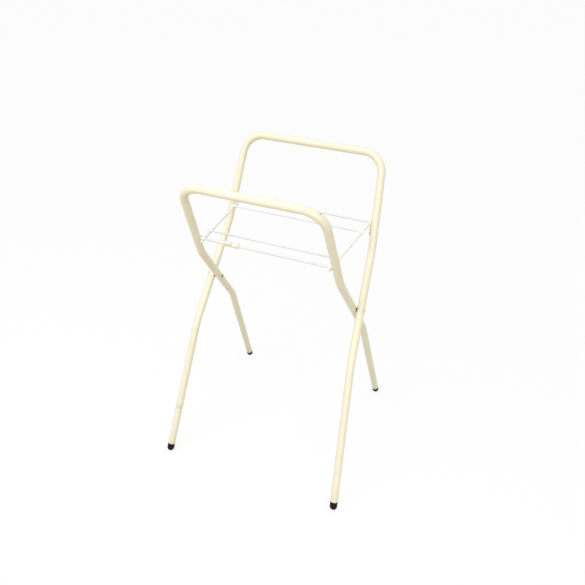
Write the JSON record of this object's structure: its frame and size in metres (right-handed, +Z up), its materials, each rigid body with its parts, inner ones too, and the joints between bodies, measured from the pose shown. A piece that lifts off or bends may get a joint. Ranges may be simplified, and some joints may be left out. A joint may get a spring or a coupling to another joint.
{
  "type": "folding baby bath stand",
  "caption": "Folding stand for a baby bath: two crossed, bent tube frames riveted together, tied by a wire rack, on round black feet.",
  "frame": {"origin": "on the floor, midway between the legs of both frames, below the pivot line", "axes": "+Z up, +X to the right across the stand, -Y to the front, where the inner frame has its top bar and the outer frame its feet"},
  "size_m": [0.5756, 0.5474, 0.916],
  "materials": {
    "cream_paint": "gloss",
    "white_coating": "gloss",
    "black_plastic": "satin",
    "dark_steel": "satin",
    "bright_steel": "satin",
    "white_plastic": "satin",
    "cream_plastic": "satin"
  },
  "bodies": {
    "outer": {"outer_frame": "cream_paint", "pivot_rivet_left": "dark_steel", "pivot_rivet_right": "dark_steel", "pivot_spacer_left": "black_plastic", "pivot_spacer_right": "black_plastic", "foot_plug_front_left": "black_plastic", "foot_plug_front_right": "black_plastic", "rack_seat_left": "cream_paint", "rack_seat_right": "cream_paint", "seat_rivet_left": "bright_steel", "seat_rivet_right": "bright_steel"},
    "inner": {"inner_frame": "cream_paint", "foot_plug_rear_left": "black_plastic", "foot_plug_rear_right": "black_plastic", "rack_bush_left": "white_plastic", "rack_bush_right": "white_plastic"},
    "rack": {"rack_wire_front": "white_coating", "rack_wire_second": "white_coating", "rack_wire_third": "white_coating", "rack_wire_rear": "white_coating", "rack_end_wire_left": "white_coating", "rack_end_wire_right": "white_coating", "rack_sleeve": "cream_plastic"}
  },
  "joints": [
    {"name": "frame_fold", "type": "hinge", "parent": "outer", "child": "inner", "pos_m": [0, 0, 0.52837], "axis": [-1, 0, 0], "range_deg": [0, 53]},
    {"name": "rack_drop", "type": "hinge", "parent": "inner", "child": "rack", "pos_m": [0, -0.12867, 0.726], "axis": [-1, 0, 0], "range_deg": [0, 26.5]}
  ],
  "couplings": [
    {"joint": "rack_drop", "follows": "frame_fold", "ratio": 0.5}
  ]
}
